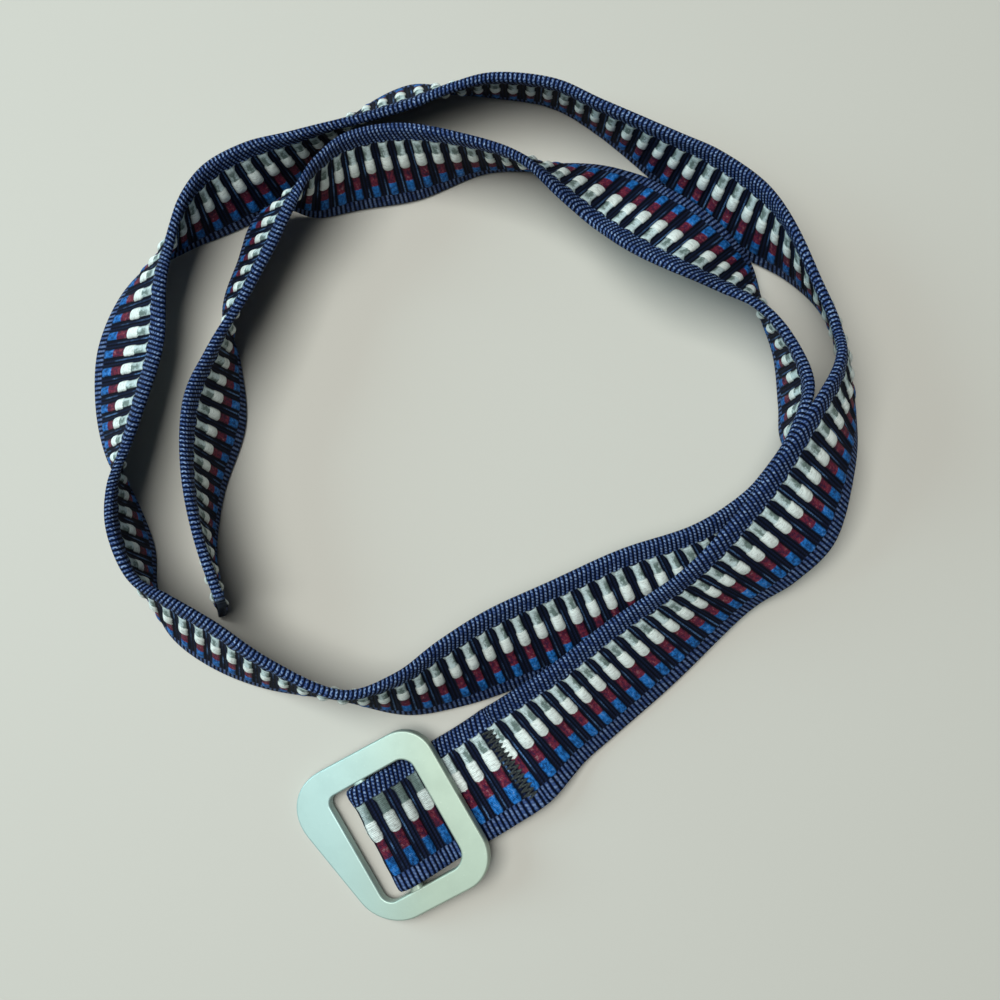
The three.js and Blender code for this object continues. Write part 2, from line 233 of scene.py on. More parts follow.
# The bar tack: its distance along the strap, half width, span across the strap, step of the zigzag and
# thickness of its thread; how uneven its stitches are, and how that beats from one to the next; how far
# the way back is shifted, and how that beats down the strap; and how high the thread's middle lies, as a
# share of the relief under it and a share of its own thickness
TACK = {
    "distance": 87.5, "half": 1.8, "from": 5.2, "to": 26.6, "step": 0.7, "thread": 0.32,
    "uneven": 0.12, "uneven_beat": 2.3, "shift_down": 0.22, "shift_along": 0.25, "shift_beat": 3.1,
    "sunk": 0.86, "proud": 0.55,
}

# The photograph's camera: its focal length and its sensor's width in mm, how near it sees, and how it
# stands in the part's frame, in metres
CAMERA = {
    "lens": 39.6,
    "sensor": 36,
    "nearest": 0.01,
    "place": (-0.00212, -0.0494, 0.3008),
    "right": (0.86728, -0.49458, -0.0566),
    "up": (0.4978, 0.86222, 0.09364),
    "back": (0.00249, -0.10939, 0.994),
}
# Square lights that face the origin: place and side in metres, tint
LIGHTS = {
    "key": {"place": (-0.95, 0.9, 0.75), "side": 0.8, "tint": (0.62, 0.92, 1.0)},
    "top": {"place": (-0.2, 0.2, 1.35), "side": 0.9, "tint": (0.97, 1.0, 0.96)},
}
# Tint of the even light all round, and the floor's side in metres
SKY_TINT = (0.78, 0.88, 1, 1)
FLOOR_SIDE = 8


def hue(text):
    """A colour from its screen hex, as the linear numbers that a shader wants."""
    parts = [int(text[i:i + 2], 16) / 255 for i in (0, 2, 4)]
    return [p / 12.92 if p <= 0.04045 else ((p + 0.055) / 1.055) ** 2.4 for p in parts]


# Sizes and colours that a user would change
class StrapSettings(bpy.types.PropertyGroup):
    """Weave and colours of the strap."""
    width: FloatProperty(name="Width", description="Across the strap, mm", default=30, min=10)
    pitch: FloatProperty(name="Rib pitch", description="Usual way from bar to bar, mm", default=4.9, min=1)
    steps: IntProperty(name="Steps a rib", description="Sections modelled in each rib", default=8, min=4)
    navy: FloatVectorProperty(
        name="Navy", description="Ribs of the selvedges", subtype="COLOR", default=hue("17346e")
    )
    cord: FloatVectorProperty(
        name="Cord", description="Cords between the bars", subtype="COLOR", default=hue("101a34")
    )
    glint: FloatVectorProperty(
        name="Glint", description="Lit threads of the navy", subtype="COLOR", default=hue("a6c0e4")
    )
    # The silver band's lit side is a painted highlight and its shaded side is painted shade
    silver: FloatVectorProperty(
        name="Silver", description="Lit side of the first band", subtype="COLOR", default=hue("c6d8da")
    )
    shaded_silver: FloatVectorProperty(
        name="Grey", description="Dull side of the first band", subtype="COLOR", default=hue("6c7e7a")
    )
    white: FloatVectorProperty(
        name="White", description="Second band", subtype="COLOR", default=hue("e6efec")
    )
    red: FloatVectorProperty(
        name="Red", description="Third band", subtype="COLOR", default=hue("722438")
    )
    blue: FloatVectorProperty(
        name="Blue", description="Fourth band", subtype="COLOR", default=hue("1e70c0")
    )
    cut: FloatVectorProperty(
        name="Cut end", description="The heat-cut end", subtype="COLOR", default=hue("3c4654")
    )
    thread: FloatVectorProperty(
        name="Thread", description="Bar tack", subtype="COLOR", default=hue("0e1315")
    )
    # Painted highlight, partly fuzz: the lighter threads of the bar tack
    thread_lit: FloatVectorProperty(
        name="Lit thread", description="Fuzz of the bar tack", subtype="COLOR", default=hue("5c6b69")
    )


class BuckleSettings(bpy.types.PropertyGroup):
    """Sizes and finish of the buckle."""
    thick: FloatProperty(name="Thickness", description="Of the frame, mm", default=3.2, min=1)
    edge: FloatProperty(name="Soft edge", description="Radius of the edges, mm", default=0.5, min=0.1)
    # The two metal colours are a painted light tint: cool at the left bar, warm at the right
    metal: FloatVectorProperty(
        name="Metal", description="Colour at the left bar", subtype="COLOR", default=hue("a6c1be")
    )
    warm: FloatVectorProperty(
        name="Warm metal", description="Colour at the right bar", subtype="COLOR", default=hue("a4b3a4")
    )
    speck: FloatVectorProperty(
        name="Speck", description="Specks where it is rubbed", subtype="COLOR", default=hue("eef1ea")
    )
    rough: FloatProperty(
        name="Roughness", description="Of the satin face", default=0.46, min=0, max=1, subtype="FACTOR"
    )


class StageSettings(bpy.types.PropertyGroup):
    """Floor and light."""
    floor: FloatVectorProperty(
        name="Floor", description="Colour of the floor", subtype="COLOR", default=hue("b4b1aa")
    )
    key: FloatProperty(
        name="Key light", description="The cool light from the left", unit="POWER", default=12, min=0
    )
    top: FloatProperty(
        name="Top light", description="The light overhead", unit="POWER", default=24.5, min=0
    )
    sky: FloatProperty(
        name="Surround", description="Strength of the even light all round", default=0.05, min=0
    )


# Shader maths
class Number:
    """A socket that carries a number; Python's operators add the Math nodes."""

    def __init__(self, finish, socket):
        self.finish = finish
        self.socket = socket

    def maths(self, operation, *values):
        """What a Math node makes of values."""
        node = self.finish.node("ShaderNodeMath", {"operation": operation}, dict(enumerate(values)))
        return Number(self.finish, node.outputs[0])

    def __add__(self, other):
        return self.maths("ADD", self, other)

    def __radd__(self, other):
        return self.maths("ADD", other, self)

    def __sub__(self, other):
        return self.maths("SUBTRACT", self, other)

    def __rsub__(self, other):
        return self.maths("SUBTRACT", other, self)

    def __mul__(self, other):
        return self.maths("MULTIPLY", self, other)

    def __rmul__(self, other):
        return self.maths("MULTIPLY", other, self)

    def __truediv__(self, other):
        return self.maths("DIVIDE", self, other)

    def __pow__(self, other):
        return self.maths("POWER", self, other)

    def __abs__(self):
        return self.maths("ABSOLUTE", self)

    def floor(self):
        return self.maths("FLOOR", self)

    def part(self):
        """What is left past the whole number."""
        return self.maths("FRACT", self)

    def crests(self, every, shift=0.0):
        """1 on the crests of ridges that follow each other at that distance, 0 in the grooves."""
        turn = self * (math.pi / every) + shift
        return abs(self.maths("SINE", turn))


class Finish:
    """A material; every node in it comes from its node method."""

    def __init__(self, name):
        self.material = bpy.data.materials.new(name)
        self.material.use_nodes = True
        self.tree = self.material.node_tree
        self.tree.nodes.clear()

    def node(self, kind, settings=None, values=None):
        """A node of a type, its settings first and then the values or links of its sockets."""
        made = self.tree.nodes.new(kind)
        for name, value in (settings or {}).items():
            setattr(made, name, value)
        for name, value in (values or {}).items():
            socket = made.inputs[name]
            if isinstance(value, Number):
                self.tree.links.new(value.socket, socket)
            elif isinstance(value, bpy.types.NodeSocket):
                self.tree.links.new(value, socket)
            elif hasattr(value, "__len__") and len(value) == 3 and len(socket.default_value) == 4:
                socket.default_value = (*value, 1)
            else:
                socket.default_value = value
        return made

    def number(self, node, output=0):
        """One of a node's outputs as a number."""
        return Number(self, node.outputs[output])

    def ramp(self, value, low, high, to_low=0.0, to_high=1.0):
        """A number eased from one value to another between two limits."""
        limits = {"From Min": low, "From Max": high, "To Min": to_low, "To Max": to_high}
        settings = {"interpolation_type": "SMOOTHSTEP"}
        return self.number(self.node("ShaderNodeMapRange", settings, {"Value": value, **limits}))

    def past(self, value, border, blur):
        """1 past a border and 0 before it, or the other way with a negative blur."""
        return self.ramp(value, border - blur, border + blur)

    def mix(self, mask, under, over, blend="MIX"):
        """One colour laid over another by a mask."""
        settings = {"data_type": "RGBA", "blend_type": blend}
        return self.node("ShaderNodeMix", settings, {0: mask, 6: under, 7: over}).outputs[2]

    def noise(self, place, scale, detail=2.0, rough=0.5):
        values = {"Vector": place, "Scale": scale, "Detail": detail, "Roughness": rough}
        return self.number(self.node("ShaderNodeTexNoise", {}, values))

    def chance(self, value):
        """A number from 0 to 1 that differs from one whole value to the next."""
        return self.number(self.node("ShaderNodeTexWhiteNoise", {"noise_dimensions": "1D"}, {"W": value}))

    def place(self, x, y, z=0.0):
        return self.node("ShaderNodeCombineXYZ", {}, {0: x, 1: y, 2: z}).outputs[0]

    def split(self, place):
        """The first two numbers of a place."""
        node = self.node("ShaderNodeSeparateXYZ", {}, {0: place})
        return self.number(node), self.number(node, 1)

    def object_place(self):
        return self.node("ShaderNodeTexCoord").outputs["Object"]

    def close(self, colour, rough, height=None, **others):
        """The shader and its output; height is a relief in metres."""
        values = {"Base Color": colour, "Roughness": rough, **others}
        if height is not None:
            bump = self.node("ShaderNodeBump", {}, {"Strength": 1.0, "Distance": 1.0, "Height": height})
            values["Normal"] = bump.outputs[0]
        shader = self.node("ShaderNodeBsdfPrincipled", {}, values)
        self.node("ShaderNodeOutputMaterial", {}, {0: shader.outputs[0]})
        return self.material


def dimmed(colour, *shares):
    """A colour with its red, green and blue multiplied by shares, or by one share."""
    shares = shares * 3 if len(shares) == 1 else shares
    return [part * share for part, share in zip(colour, shares)]


# The strap's path
def turned(points, angle, shift=(0, 0)):
    """Points of a plane, turned about the origin and shifted."""
    c, s = math.cos(angle), math.sin(angle)
    x, y = np.asarray(points, float).T
    return np.column_stack([c * x - s * y, s * x + c * y]) + shift


def to_part(points):
    """Points of the lay, in mm, in the part's frame in metres."""
    points = np.atleast_2d(np.asarray(points, float))
    plan = turned(points[:, :2], -BUCKLE_ANGLE) - OUTLINE_MIDDLE
    return np.column_stack([plan, points[:, 2]]) * MM


def flat_sections(along, height, width):
    """Foot and top of the doubled end, which lies flat, at distances from the window's middle."""
    turn = np.maximum(0, along - BEND_START) / BEND_RADIUS
    ahead = np.minimum(along, BEND_START) + BEND_RADIUS * np.sin(turn)
    aside = BEND_RADIUS * (1 - np.cos(turn))
    plan = turned(np.column_stack([ahead, aside]), BUCKLE_ANGLE, WINDOW_MIDDLE)
    middle = np.column_stack([plan, height])
    heading = BUCKLE_ANGLE + turn
    across = np.column_stack([-np.sin(heading), np.cos(heading), np.zeros_like(heading)])
    return middle - across * width / 2, middle + across * width / 2


def fold_points(thick):
    """The cloth's middle line round the crossbar's left side, from below to above."""
    reach = CROSSBAR["along"] - BUCKLE_LEFT
    middle = turned([(reach, thick / 2)], BUCKLE_TILT, (BUCKLE_LEFT, -BUCKLE_DROP))[0]
    radius = CROSSBAR["corner"] + FOLD_OFFSET
    aside = CROSSBAR["wide"] / 2 - CROSSBAR["corner"]
    up = CROSSBAR["thick"] / 2 - CROSSBAR["corner"]
    points = []
    for degrees in FOLD_ANGLES:
        angle = math.radians(degrees)
        x = radius * math.cos(angle) + (aside if degrees < 90 else -aside)
        y = radius * math.sin(angle) + math.copysign(up, math.sin(angle))
        points.append((x, y))
    return turned(points, BUCKLE_TILT, middle)


def spline(points, knots, steps):
    """Catmull-Rom curve through points: knots 0 for even spacing, 0.5 for spacing by distance."""
    ends = np.vstack([2 * points[0] - points[1], points, 2 * points[-1] - points[-2]])
    gaps = np.maximum(np.linalg.norm(np.diff(ends, axis=0), axis=1), TINY) ** knots
    t = np.linspace(0, 1, steps, endpoint=False)[:, None]
    out = []
    for i in range(1, len(ends) - 2):
        p0, p1, p2, p3 = ends[i - 1:i + 3]
        g0, g1, g2 = gaps[i - 1:i + 2]
        leave = ((p1 - p0) / g0 - (p2 - p0) / (g0 + g1) + (p2 - p1) / g1) * g1
        reach = ((p2 - p1) / g1 - (p3 - p1) / (g1 + g2) + (p3 - p2) / g2) * g1
        out.append((2 * t**3 - 3 * t**2 + 1) * p1 + (t**3 - 2 * t**2 + t) * leave
                   + (3 * t**2 - 2 * t**3) * p2 + (t**3 - t**2) * reach)
    return np.vstack(out + [points[-1:]])


def eased(points):
    """Points averaged with their neighbours, so that no crease shows where the lean begins."""
    more = EASE_SPAN // 2
    padded = np.vstack([points[:1].repeat(more, 0), points, points[-1:].repeat(more, 0)])
    share = np.ones(EASE_SPAN) / EASE_SPAN
    return np.column_stack([np.convolve(column, share, "valid") for column in padded.T])


def laid_sections(width):
    """Foot and top of the strap where it lies on edge: each row of LAY leans over by its over x and y."""
    over = np.array(OVER_SEWN, float)
    feet, tops = flat_sections(over[:, 0], over[:, 1], width)
    start = np.column_stack([feet[:, :2], (tops - feet)[:, :2], over[:, 1] - FOOT_HEIGHT])
    rows = spline(np.vstack([start, LAY]), 0, LAY_STEPS)[1:]
    leaning = np.linalg.norm(rows[:, 2:4], axis=1)
    overs = rows[:, 2:4] * np.minimum(1, width / np.maximum(leaning, TINY))[:, None]
    lean = np.minimum(leaning, width)
    height = np.maximum(rows[:, 4], 0) + FOOT_HEIGHT * lean / width
    feet = np.column_stack([rows[:, :2], height])
    tops = feet + np.column_stack([overs, np.sqrt(width**2 - lean**2)])
    return eased(feet), eased(tops)


def unit(vectors):
    return vectors / np.linalg.norm(vectors, axis=1)[:, None]


class StrapShape:
    """Where a point of the strap is, from its distance along it, its place across it and its relief."""

    def __init__(self, width, thick):
        side = spline(np.vstack([SEWN_BACK, fold_points(thick), OFF_CROSSBAR]), 0.5, END_STEPS)
        end_feet, end_tops = flat_sections(side[:, 0], side[:, 1], width)
        feet, tops = laid_sections(width)
        self.feet = np.vstack([end_feet, feet])
        self.tops = np.vstack([end_tops, tops])
        steps = np.linalg.norm(np.diff((self.feet + self.tops) / 2, axis=0), axis=1)
        self.distance = np.concatenate([[0], np.cumsum(steps)])
        self.width = width
        self.length = self.distance[-1]

    def pick(self, points, distances):
        """Points of the foot or top line at distances along the strap."""
        return np.column_stack([np.interp(distances, self.distance, column) for column in points.T])

    def middle(self, distances):
        return (self.pick(self.feet, distances) + self.pick(self.tops, distances)) / 2

    def sample(self, distances):
        """Middle of the cloth, way to the upper edge and way out of the front face, at distances."""
        reach = 0.5
        before = self.middle(np.maximum(distances - reach, 0))
        after = self.middle(np.minimum(distances + reach, self.length))
        across = unit(self.pick(self.tops, distances) - self.pick(self.feet, distances))
        outward = unit(np.cross(unit(after - before), across))
        return self.middle(distances), across, outward

    def points(self, distances, down, out):
        """Points in mm: down from the upper edge and out from the cloth's middle, for each distance."""
        middle, across, outward = self.sample(distances)
        return middle + across * (self.width / 2 - down)[:, None] + outward * out[:, None]


def bar_at(distance):
    """Number of the bar at a distance along the strap: whole in the middle of a bar of the front."""
    return np.interp(distance, *zip(*BARS))


def relief(distance, bar, down, back=False):
    """How far a face stands from the cloth's middle: a domed bar round each whole number."""
    ground = np.interp(down, *zip(*GROUND))
    pressed = PRESSED_BACK if back else PRESSED
    height = np.interp(down, *zip(*BAR_RELIEF)) * np.interp(distance, *zip(*pressed))
    off = np.mod(np.asarray(bar) + 0.5, 1) - 0.5
    return ground + height * np.sqrt(np.clip(1 - (off / BAR_HALF) ** 2, 0, 1))


# Small tools
def clear_selection():
    if bpy.context.object and bpy.context.object.mode != "OBJECT":
        bpy.ops.object.mode_set(mode="OBJECT")
    bpy.ops.object.select_all(action="DESELECT")


def activate(obj):
    clear_selection()
    obj.select_set(True)
    bpy.context.view_layer.objects.active = obj


def settle(obj):
    """The object's place goes into its mesh."""
    activate(obj)
    bpy.ops.object.transform_apply(location=True, rotation=True, scale=True)


def add_object(name, data):
    obj = bpy.data.objects.new(name, data)
    bpy.context.scene.collection.objects.link(obj)
    return obj


def add_piece(obj, name, material, replaces=()):
    """A finished piece gets its name, material and ride."""
    obj.name = name
    obj.data.name = name
    obj.data.materials.clear()
    obj.data.materials.append(material)
    if replaces:
        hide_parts(*replaces)
    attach(obj, "root")


# Materials
class Weave:
    """The parts of the webbing, drawn on the strap's own map: bars along it, mm from its upper edge."""

    def __init__(self, s):
        f = Finish("webbing")
        self.s = s
        self.f = f
        self.ribs, share = f.split(f.node("ShaderNodeUVMap", {"uv_map": "weave"}).outputs[0])
        self.down = share * s.width
        # number of the nearest bar, the way from its middle in mm, and its luck, the same all over the bar
        self.cell = (self.ribs + 0.5).floor()
        self.side = ((self.ribs + 0.5).part() - 0.5) * s.pitch
        chance = f.chance(self.cell)
        self.luck = chance - 0.5
        # fine grain, and the wander of the threads
        along = self.ribs * s.pitch
        self.grain = f.noise(f.place(along, self.down), 2.6, 3.0, 0.6)
        wander = f.place(along * 3.0, self.down * 0.8, chance * 9.0)
        self.ragged = f.noise(wander, 1.5, 2.0, 0.6) - 0.5
        self.fine = self.down.crests(FINE_THREAD, self.ragged * 3.0)
        self.threads = self.down.crests(THREAD, self.ragged * 1.6 + self.side * 0.5)

    def bar_half(self):
        """Half width of a bar down the strap."""
        f = self.f
        return (
            f.ramp(self.down, *BAR_SHAPE["width"])
            - f.ramp(self.down, *BAR_SHAPE["waist"])
            - f.ramp(self.down, *BAR_SHAPE["foot"])
            + self.luck * 0.14
            + self.ragged * 0.3
        )

    def bar_mask(self, half):
        """1 on the bars, whose tops splay where they leave the selvedge."""
        f, side = self.f, self.side
        left = half + f.ramp(self.down, *BAR_SHAPE["flare"])
        top = self.down + side * 0.12 + abs(side) ** 2.0 * 0.18 + self.ragged * 0.5 + self.luck * 0.4
        within = f.past(top, BANDS["silver"], BLUR["silver"])
        within = within * f.past(self.down, BANDS["end"], -BLUR["end"])
        return f.past(side, 0.0 - left, BAR_BLUR) * f.past(side, half, -BAR_BLUR) * within

    def bars(self, half, crease):
        """Colour of the bars: silver with painted shade and highlight, white, dark red and blue, with
        painted shade between threads.
        """
        f, s, side, down = self.f, self.s, self.side, self.down
        border = down + self.ragged * 0.6 + self.luck * 0.5
        streak = f.noise(f.place(side * 1.3, down * 0.7, self.cell * 3.7), 1.0, 3.0, 0.65)
        begin, full, full_to, end = BUCKLE_SHADE
        buckle_shade = f.ramp(self.ribs, begin, full) * f.ramp(self.ribs, end, full_to)

        # painted shade on one side of the silver, and on all of it where the strap is tucked under the
        # buckle
        patch = side + (streak - 0.5) * 3.2 + self.luck * 1.6
        silver_shade_mask = f.ramp(patch, -0.7, 0.3) * f.ramp(patch, 1.5, 0.9, 0.3, 1.0)
        silver_shade_mask = silver_shade_mask * f.ramp(down + self.ragged * 2.0, 5.2, 7.2, 0.1, 1.0)
        silver_shade_mask = 1 - (1 - silver_shade_mask) * (1 - buckle_shade * 0.9)
        pale = f.mix(f.past(border, BANDS["white"], BLUR["white"]), f.mix(silver_shade_mask, s.silver, s.shaded_silver), s.white)

        # the dyed bands are streaked with navy and with painted highlights of lit threads, and the white
        # ends in a round
        dyed = f.mix(f.past(border, BANDS["blue"], BLUR["blue"]), s.red, s.blue)
        dyed = f.mix(f.ramp(streak, 0.36, 0.58, 0.75, 0.0), dyed, dimmed(s.navy, 0.25))
        dyed = f.mix(f.ramp(streak, 0.56, 0.74, 0.0, 0.3) * self.fine, dyed, s.silver)
        rounded = border + abs(side) ** 2.0 * 0.3
        colour = f.mix(f.past(rounded, BANDS["red"], BLUR["red"]), pale, dyed)

        # painted shade between the threads, in the creases, down the sides of a bar and under the buckle;
        # darker in the slubs
        lines = 1 - (1 - self.threads) ** 3.0 * 0.6
        slub = f.noise(f.place(self.ribs * s.pitch * 0.7, down * 5.0), 1.0)
        shade = (0.66 + 0.34 * lines) * (0.7 + 0.6 * slub) * (0.72 + 0.28 * crease) * (1 - buckle_shade * 0.35)
        shade = shade * (1 - f.ramp(abs(side) / half, 0.6, 1.05) * f.ramp(down, 14.0, 17.0, 0.45, 0.75))
        return f.mix(1.0, colour, f.place(shade, shade, shade), "MULTIPLY")

    def crease(self):
        """0 in the few creases of a bar and 1 beside them; they get painted shade and sink in the relief.
        """
        f = self.f
        fold = f.noise(f.place(self.side * 0.3, self.down * 1.3, self.cell * 5.3), 1.0) - 0.5
        return f.ramp(abs(fold), 0.0, 0.035)

    def cords(self):
        """Two dark roped cords between the bars: their colour, their crests and their pale glints."""
        f, s, down = self.f, self.s, self.down
        from_bar = (self.ribs - BAR_HALF).part() / (1 - 2 * BAR_HALF)
        crest = from_bar.crests(0.5)
        rope = down.crests(ROPE_TURN, from_bar * 2.5 + self.ragged)
        stretch = f.noise(f.place(self.ribs * 0.3, down * 0.1), 1.0)
        lit = f.ramp(stretch, 0.45, 0.65) * f.ramp(self.grain, 0.35, 0.6)
        glint = f.ramp(abs(from_bar - 0.25), 0.15, 0.05) * f.ramp(self.fine, 0.2, 0.8, 0.5, 1.0) * lit
        # painted shade in the grooves between crests and rope turns, then painted highlights on the glints
        dark = f.mix(crest * (0.35 + 0.65 * rope), dimmed(s.cord, 0.04), s.cord)
        return f.mix(glint * 0.7, dark, dimmed(s.glint, 0.45, 0.7, 0.95)), crest, glint

    def selvedges(self):
        """Fine slanting ribs, broken into beads at the upper edge and into strokes at the lower one.

        Their colour, their crests and their lit strokes.
        """
        f, s, down = self.f, self.s, self.down
        slant = f.ramp(down, 8.0, 20.0, *SELVEDGE_SLANT)
        rib_at = self.ribs * SELVEDGE_RIBS + down * slant + self.ragged * 0.4
        crest = rib_at.crests(1)
        round_edge = f.ramp(down, 0.0, 0.35, 0.0, 0.55)
        row = (down + round_edge) * (1 / BEAD) + (rib_at + 0.5).part() * 0.3 + self.ragged * 0.4
        column = row.crests(1)
        each = f.chance(row.floor() * 7.0 + rib_at.floor())
        beads = f.ramp(down, 9.0, 3.0, 0.5, 1.0)
        # strokes on the rib crests carry painted highlights, fainter towards the lower edge; grooves get
        # painted shade
        glint_stroke = f.ramp(crest, 0.6, 0.95) * (1 - beads * (1 - f.ramp(column, 0.45, 0.85)))
        glint_stroke = glint_stroke * f.ramp(down, 20.0, 26.0, 1.0, 0.6)
        rib = f.mix(f.ramp(crest, 0.25, 0.9) * (0.45 + 0.55 * column), dimmed(s.navy, 0.03), s.navy)
        return f.mix(glint_stroke * (0.14 + 0.52 * each), rib, s.glint), crest, glint_stroke

    def selvedge_mask(self):
        f, down = self.f, self.down
        inner = f.past(down, SELVEDGES["upper"], SELVEDGES["upper_blur"])
        return 1 - inner * f.past(down, SELVEDGES["lower"], -SELVEDGES["lower_blur"])


def webbing(s):
    """Woven webbing: navy selvedges with fine ribs, bars in four colours and dark cords between them."""
    w = Weave(s)
    f = w.f
    half = w.bar_half()
    bar = w.bar_mask(half)
    crease = w.crease()
    selvedge = w.selvedge_mask()
    cord_colour, cord_crest, glint = w.cords()
    rib_colour, rib_crest, glint_stroke = w.selvedges()
    ground = f.mix(selvedge, cord_colour, rib_colour)
    colour = f.mix(bar, ground, w.bars(half, crease))
    cut = f.number(f.node("ShaderNodeAttribute", {"attribute_name": "cut"}), "Fac")
    colour = f.mix(cut * (0.5 + 0.5 * w.grain), colour, s.cut)

    # lit threads are glossy and show mostly where they mirror a light
    gloss = (1 - bar) * (glint_stroke * selvedge * 0.35 + glint * (1 - selvedge) * 0.7)
    rough = 0.82 - bar * 0.2 - gloss * 0.5 + (w.grain - 0.5) * 0.15
    height = (
        bar * (0.03 + 0.09 * w.threads + 0.03 * w.fine + 0.08 * crease)
        + (1 - bar) * (1 - selvedge) * (0.04 * w.fine + 0.18 * cord_crest)
        + selvedge * (rib_crest * 0.2 + 0.22 * glint_stroke)
        + w.grain * 0.03
    )
    return f.close(colour, rough, height * MM, **{"Specular IOR Level": 0.1, "Metallic": gloss})


def satin_metal(s):
    """Blasted and lightly handled metal: fine grain, soft stains, a little brighter where it is rubbed."""
    f = Finish("satin_metal")
    place = f.object_place()
    grain = f.noise(place, 5200.0, 2.0, 0.6)
    cloud = f.noise(place, 120.0, 3.0, 0.55)
    speck = f.noise(place, 1400.0, 2.0, 0.6)
    x, y = f.split(place)
    sweep = x * math.cos(BUCKLE_ANGLE) - y * math.sin(BUCKLE_ANGLE)
    cool, warm = LIGHT_TINT_SWEEP
    # painted light: a cool tint at the left bar that turns warm towards the right
    light_tint = f.mix(f.ramp(sweep, cool * MM, warm * MM), s.metal, s.warm)
    stain = f.mix(1.0, light_tint, [0.86] * 3, "MULTIPLY")
    colour = f.mix(f.ramp(cloud, 0.35, 0.7) * 0.5, light_tint, stain)
    colour = f.mix(f.ramp(speck, 0.68, 0.76) * 0.16, colour, s.speck)
    rough = s.rough + (cloud - 0.5) * 0.16 + (grain - 0.5) * 0.1
    height = grain * 0.012 + speck * 0.01
    return f.close(colour, rough, height * MM, Metallic=0.4)


def thread_finish(s):
    """Twisted sewing thread, with lighter fuzz that is partly painted highlight."""
    f = Finish("tack_thread")
    fuzz_and_glint = f.noise(f.object_place(), 2600.0, 2.0, 0.6)
    colour = f.mix(f.ramp(fuzz_and_glint, 0.52, 0.7) * 0.55, s.thread, s.thread_lit)
    return f.close(colour, 0.62 + fuzz_and_glint * 0.2, fuzz_and_glint * 0.05 * MM)


def floor_finish(s):
    """Matt pale floor with the faintest cloud."""
    f = Finish("stage_floor")
    cloud = f.noise(f.object_place(), 3.0)
    colour = f.mix(cloud * 0.06, s.floor, dimmed(s.floor, 0.8))
    return f.close(colour, 0.7 + cloud * 0.05)


# Pieces
def ring_points(shape, ring, bars, distances):
    """The strap's points in the part's frame: a ring round both faces at each distance."""
    middle, across, outward = shape.sample(distances)
    points = np.zeros((len(distances), len(ring), 3))
    for k, down in enumerate(ring):
        back = k > len(COLUMNS)
        edge = k in (0, len(COLUMNS) + 1)
        out = np.zeros(len(bars)) if edge else relief(distances, bars + BACK_STEP * back, down, back)
        out = -out if back else out
        points[:, k] = middle + across * (shape.width / 2 - down) + outward * out[:, None]
    return to_part(points.reshape(-1, 3))


def side_faces(ring, bars, width):
    """Faces from ring to ring, and their corners on the map: number of the bar, share of the width."""
    row, k = np.meshgrid(np.arange(len(bars) - 1), np.arange(len(ring)), indexing="ij")
    row, k = row.ravel(), k.ravel()
    following = (k + 1) % len(ring)
    corners = [(row, k), (row, following), (row + 1, following), (row + 1, k)]
    faces = np.stack([r * len(ring) + c for r, c in corners], 1)
    shift = BACK_STEP * (k > len(COLUMNS))
    places = [np.column_stack([bars[r] + shift, np.array(ring)[c] / width]) for r, c in corners]
    return faces.tolist(), np.stack(places, 1).reshape(-1, 2)


def end_faces(ring, bars, width):
    """Faces that close both ends, each from front to back, and their corners on the map."""
    size = len(ring)
    last = (len(bars) - 1) * size
    faces, places = [], []
    for k in range(len(COLUMNS) + 1):
        a, b, c, d = k, k + 1, size - 1 - k, (size - k) % size
        for base, bar, order in ((0, bars[0], (a, d, c, b)), (last, bars[-1], (a, b, c, d))):
            corners = list(dict.fromkeys(order))
            faces.append([base + q for q in corners])
            places += [(bar, ring[q] / width) for q in corners]
    return faces, np.array(places)


def strap_mesh(shape, steps):
    """Mesh of the strap, with the weave's own map and a mark on its cut ends."""
    first, last = bar_at(0), bar_at(shape.length)
    bars = np.linspace(first, last, int((last - first) * steps) + 1)
    distances = np.interp(bars, [bar for _, bar in BARS], [distance for distance, _ in BARS])
    ring = [0.0, *COLUMNS, shape.width, *reversed(COLUMNS)]
    sides, side_map = side_faces(ring, bars, shape.width)
    ends, end_map = end_faces(ring, bars, shape.width)
    mesh = bpy.data.meshes.new("strap_weave")
    mesh.from_pydata(ring_points(shape, ring, bars, distances).tolist(), [], sides + ends)
    layer = mesh.uv_layers.new(name="weave")
    layer.data.foreach_set("uv", np.concatenate([side_map, end_map]).astype(np.float32).ravel())
    cut = np.clip(1 - (shape.length - distances) / CUT_LENGTH, 0, 1)
    cut[0] = 1
    attribute = mesh.attributes.new("cut", "FLOAT", "POINT")
    attribute.data.foreach_set("value", np.repeat(cut, len(ring)).astype(np.float32))
    mesh.update()
    mesh.validate()
    return mesh


def tack_stitches():
    """The thread's way, in mm down and along the strap: a zigzag down and a shifted one back up."""
    turns = int((TACK["to"] - TACK["from"]) / TACK["step"])
    zigzag = []
    for i in range(turns):
        reach = TACK["half"] * (1 + TACK["uneven"] * math.sin(i * TACK["uneven_beat"]))
        way = 1 if i % 2 else -1
        for share in (0, 0.25, 0.5, 0.75):
            down = TACK["from"] + (i + share) * TACK["step"]
            zigzag.append((down, TACK["distance"] + way * (1 - 2 * share) * reach))
    back = []
    for down, distance in reversed(zigzag):
        shift = TACK["shift_along"] * math.sin(down * TACK["shift_beat"])
        back.append((down + TACK["shift_down"], distance + shift))
    return np.array(zigzag + back).T


def tack_curve(points):
    """A round thread through points in metres."""
    curve = bpy.data.curves.new("tack", "CURVE")
    curve.dimensions = "3D"
    curve.bevel_depth = TACK["thread"] / 2 * MM
    curve.bevel_resolution = 3
    curve.use_fill_caps = True
    line = curve.splines.new("POLY")
    line.points.add(len(points) - 1)
    for point, place in zip(line.points, points):
        point.co = (*place, 1)
    return curve


